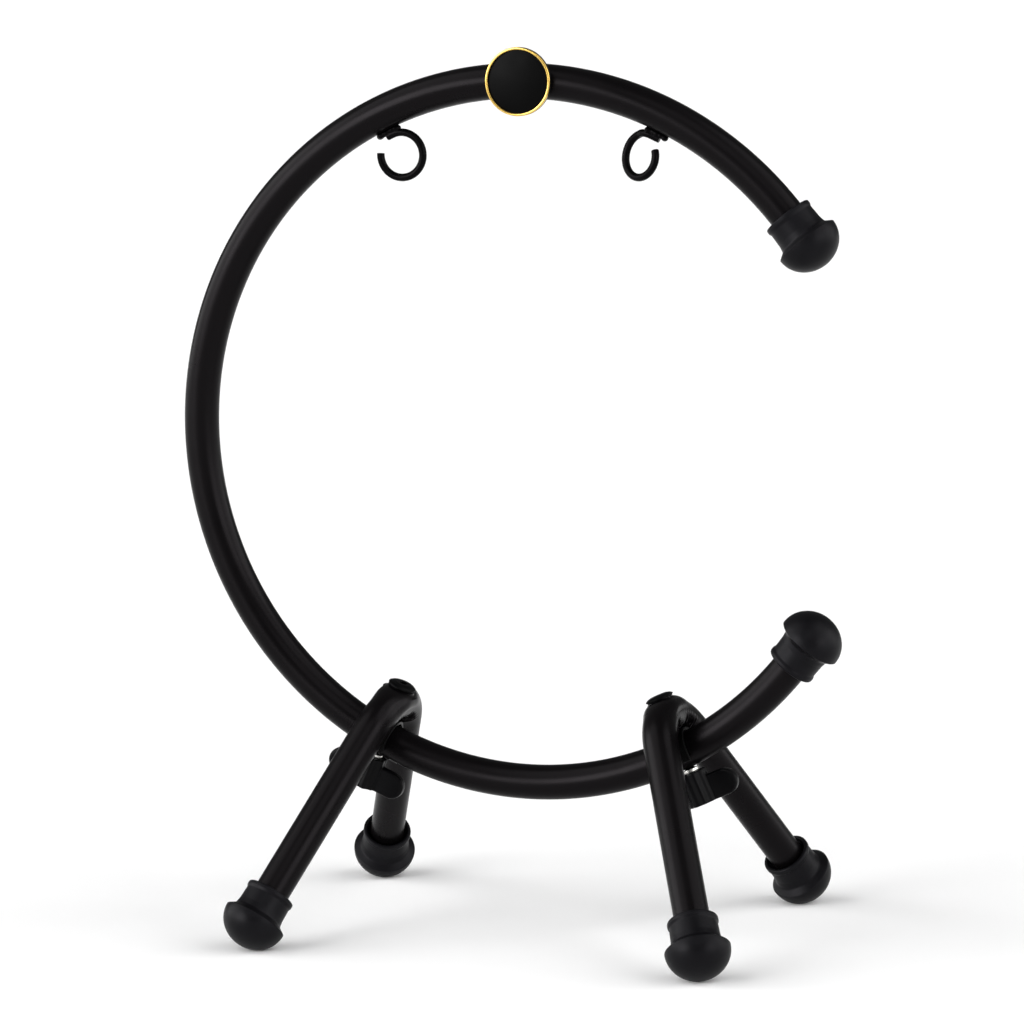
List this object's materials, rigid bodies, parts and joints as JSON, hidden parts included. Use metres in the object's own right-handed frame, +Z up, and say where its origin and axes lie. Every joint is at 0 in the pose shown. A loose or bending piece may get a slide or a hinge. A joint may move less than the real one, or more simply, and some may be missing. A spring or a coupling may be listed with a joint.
{
  "type": "gong stand",
  "caption": "Freestanding C-shaped tubular stand with clamped hairpin legs, rubber tips and hanging hooks, for holding a gong in its ring.",
  "frame": {"origin": "middle of the bounding box's base, on the floor between the feet", "axes": "+Z up, -Y towards the badge's side, +X towards the ring's open mouth"},
  "size_m": [0.4932, 0.2914, 0.6291],
  "materials": {
    "frame_coat": "matt black powder coat",
    "hook_coat": "matt black powder coat on rod",
    "tip_rubber": "matt moulded",
    "saddle_liner": "matt black",
    "bolt_black": "black oxide",
    "nut_plastic": "satin moulded",
    "collar_zinc": "bright zinc",
    "badge_black": "satin",
    "badge_gold": "polished gold",
    "badge_gloss": "gloss black"
  },
  "bodies": {
    "ring": {"ring_tube": "frame_coat", "ring_cap_upper": "tip_rubber", "ring_cap_lower": "tip_rubber", "hook_left": "hook_coat", "hook_right": "hook_coat", "badge_body": "badge_black", "badge_rim": "badge_gold", "badge_face": "badge_gloss"},
    "left_leg": {"leg_left": "frame_coat", "foot_left_front": "tip_rubber", "foot_left_rear": "tip_rubber", "saddle_left": "saddle_liner", "bolt_left": "bolt_black"},
    "right_leg": {"leg_right": "frame_coat", "foot_right_front": "tip_rubber", "foot_right_rear": "tip_rubber", "saddle_right": "saddle_liner", "bolt_right": "bolt_black"},
    "left_nut": {"wing_nut_left": "nut_plastic", "nut_collar_left": "collar_zinc"},
    "right_nut": {"wing_nut_right": "nut_plastic", "nut_collar_right": "collar_zinc"}
  },
  "joints": [
    {"name": "left_leg_slide", "type": "slide", "parent": "ring", "child": "left_leg", "axis": [0.4051, 0, 0.9143], "range_m": [0, 0.02031]},
    {"name": "right_leg_slide", "type": "slide", "parent": "ring", "child": "right_leg", "axis": [-0.4051, 0, 0.9143], "range_m": [0, 0.02031]},
    {"name": "left_nut_turn", "type": "hinge", "parent": "ring", "child": "left_nut", "pos_m": [-0.10951, 0, 0.10767], "axis": [-0.4051, 0, -0.9143], "range_deg": [0, 5850]},
    {"name": "right_nut_turn", "type": "hinge", "parent": "ring", "child": "right_nut", "pos_m": [0.14133, 0, 0.10767], "axis": [0.4051, 0, -0.9143], "range_deg": [0, 5850]}
  ],
  "couplings": [
    {"joint": "left_nut_turn", "follows": "left_leg_slide", "rad_per_m": 5026.5},
    {"joint": "right_nut_turn", "follows": "right_leg_slide", "rad_per_m": 5026.5}
  ]
}
